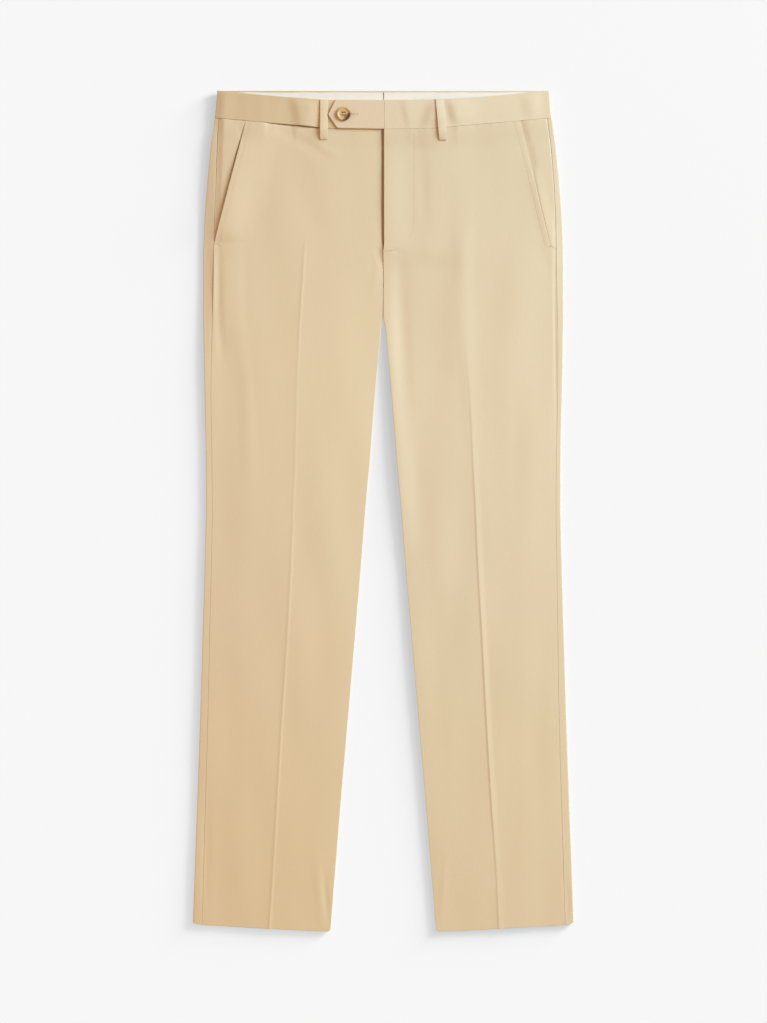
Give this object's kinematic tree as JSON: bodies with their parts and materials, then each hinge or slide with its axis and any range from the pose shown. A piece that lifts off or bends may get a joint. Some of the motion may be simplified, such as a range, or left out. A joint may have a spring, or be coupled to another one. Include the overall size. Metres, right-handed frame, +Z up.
{
  "type": "chino trousers, laid flat",
  "caption": "Beige cotton chino trousers laid flat with the fly up: pointed waistband tab with a horn button, belt loops, slanted pockets and pressed creases.",
  "frame": {"origin": "on the table, under the middle of the outline", "axes": "+X to the wearer's left, +Y from the hems to the waist, +Z up from the table"},
  "size_m": [0.484, 1.068, 0.0134],
  "materials": {
    "twill": "matt cotton twill",
    "lining": "matt cotton",
    "button": "satin horn"
  },
  "bodies": {
    "root": {"front_right": "twill", "front_left": "twill", "back_right": "twill", "back_left": "twill", "pocket_facing_right": "twill", "pocket_facing_left": "twill", "fly_shield": "twill", "waistband_right": "twill", "waistband_left": "twill", "waistband_tab": "twill", "waistband_lining_right": "lining", "waistband_lining_left": "lining", "belt_loop_front_right": "twill", "belt_loop_front_left": "twill", "belt_loop_back_right": "twill", "belt_loop_back_centre": "twill", "belt_loop_back_left": "twill", "button": "button"}
  },
  "joints": []
}
